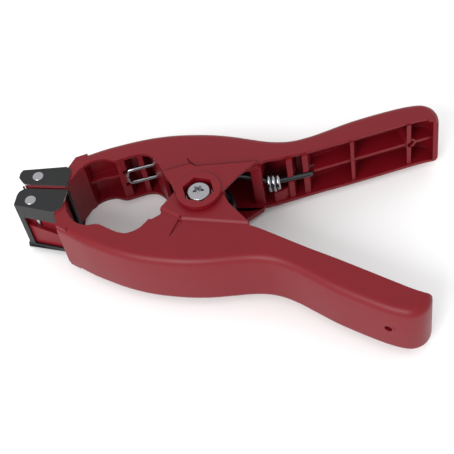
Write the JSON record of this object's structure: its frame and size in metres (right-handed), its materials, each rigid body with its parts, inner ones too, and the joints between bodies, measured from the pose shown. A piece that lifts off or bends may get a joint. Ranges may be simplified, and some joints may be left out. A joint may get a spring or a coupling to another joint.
{
  "type": "spring-closed hand clamp",
  "caption": "Spring-closed hand clamp with two moulded channel levers on a screw pivot, folded steel jaws and a torsion spring.",
  "frame": {"origin": "middle of the tool's length and width, level with its lowest face", "axes": "+X from the jaws to the handle ends, +Y across from the lower lever to the upper lever, +Z along the pivot axis, up"},
  "size_m": [0.1991, 0.1216, 0.0384],
  "materials": {
    "red_plastic": "satin moulded",
    "dark_steel": "blackened sheet, bare cut edges",
    "bright_steel": "zinc plated",
    "spring_steel": "oil blackened wire"
  },
  "bodies": {
    "lower_half": {"lower_lever": "red_plastic", "lower_jaw": "dark_steel", "lower_jaw_rivet": "bright_steel", "pivot_screw": "bright_steel", "screw_washer": "bright_steel", "nut_washer": "bright_steel", "pivot_nut": "bright_steel", "pivot_bush": "bright_steel", "main_spring": "spring_steel", "lower_leg_coil": "bright_steel", "lower_head_wire": "bright_steel"},
    "upper_half": {"upper_lever": "red_plastic", "upper_jaw": "dark_steel", "upper_jaw_rivet": "bright_steel", "upper_leg_coil": "bright_steel", "upper_head_wire": "bright_steel"}
  },
  "joints": [
    {"name": "pivot", "type": "hinge", "parent": "lower_half", "child": "upper_half", "pos_m": [-0.009, 0, 0.0192], "axis": [0, 0, -1], "range_deg": [0, 38], "stiffness_Nm_per_rad": 0.6, "springref_deg": -28.65, "deforming": ["main_spring"]}
  ]
}
